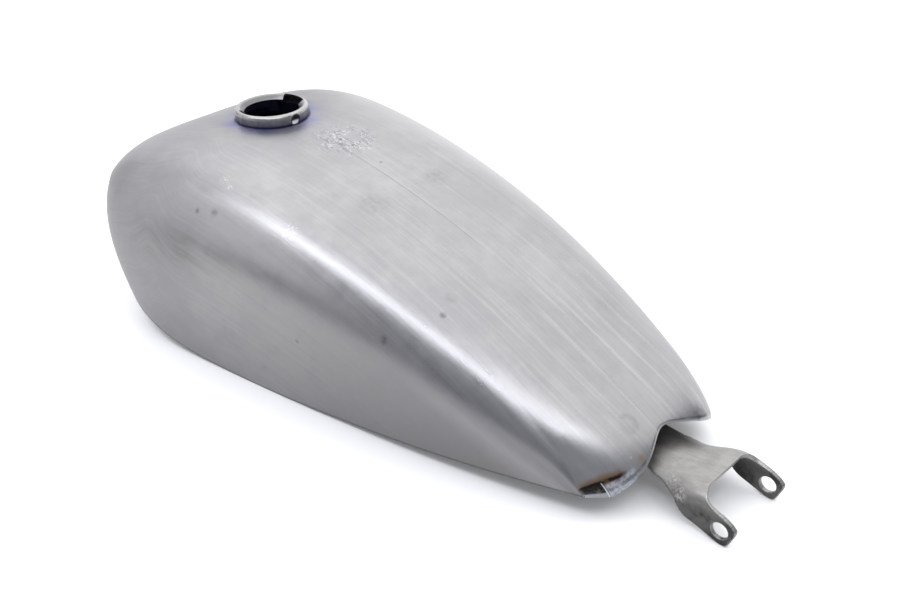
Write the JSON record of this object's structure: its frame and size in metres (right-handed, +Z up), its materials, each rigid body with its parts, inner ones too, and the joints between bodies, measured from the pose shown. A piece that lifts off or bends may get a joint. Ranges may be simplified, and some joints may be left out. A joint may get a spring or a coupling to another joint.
{
  "type": "motorcycle fuel tank",
  "caption": "Bare steel teardrop fuel tank with a centre tunnel, an open bayonet filler neck, a fuel outlet underneath, front mount tabs and a forked rear mount yoke.",
  "frame": {"origin": "under the middle of the whole part, on the surface that it stands on", "axes": "+X towards the steering head, +Y to the rider's left, +Z up"},
  "size_m": [0.5179, 0.2472, 0.1474],
  "materials": {
    "body_steel": "bare sheet steel, polished lengthwise, with soft scratches and handling marks",
    "pan_steel": "bare pressed sheet, dull",
    "weld_steel": "weld bead, dark and slightly blued",
    "neck_steel": "turned steel, bright, heat-tinted at its foot",
    "mount_steel": "hot-rolled plate with worn mill scale"
  },
  "bodies": {
    "root": {"left_shell": "body_steel", "right_shell": "body_steel", "tunnel": "pan_steel", "left_floor": "pan_steel", "right_floor": "pan_steel", "rear_seam_weld": "weld_steel", "front_seam_weld": "weld_steel", "filler_collar": "neck_steel", "filler_weld": "weld_steel", "front_cap_cam": "neck_steel", "rear_cap_cam": "neck_steel", "rear_yoke": "mount_steel", "left_front_tab": "mount_steel", "right_front_tab": "mount_steel", "outlet_bung": "neck_steel", "outlet_weld": "weld_steel"}
  },
  "joints": []
}
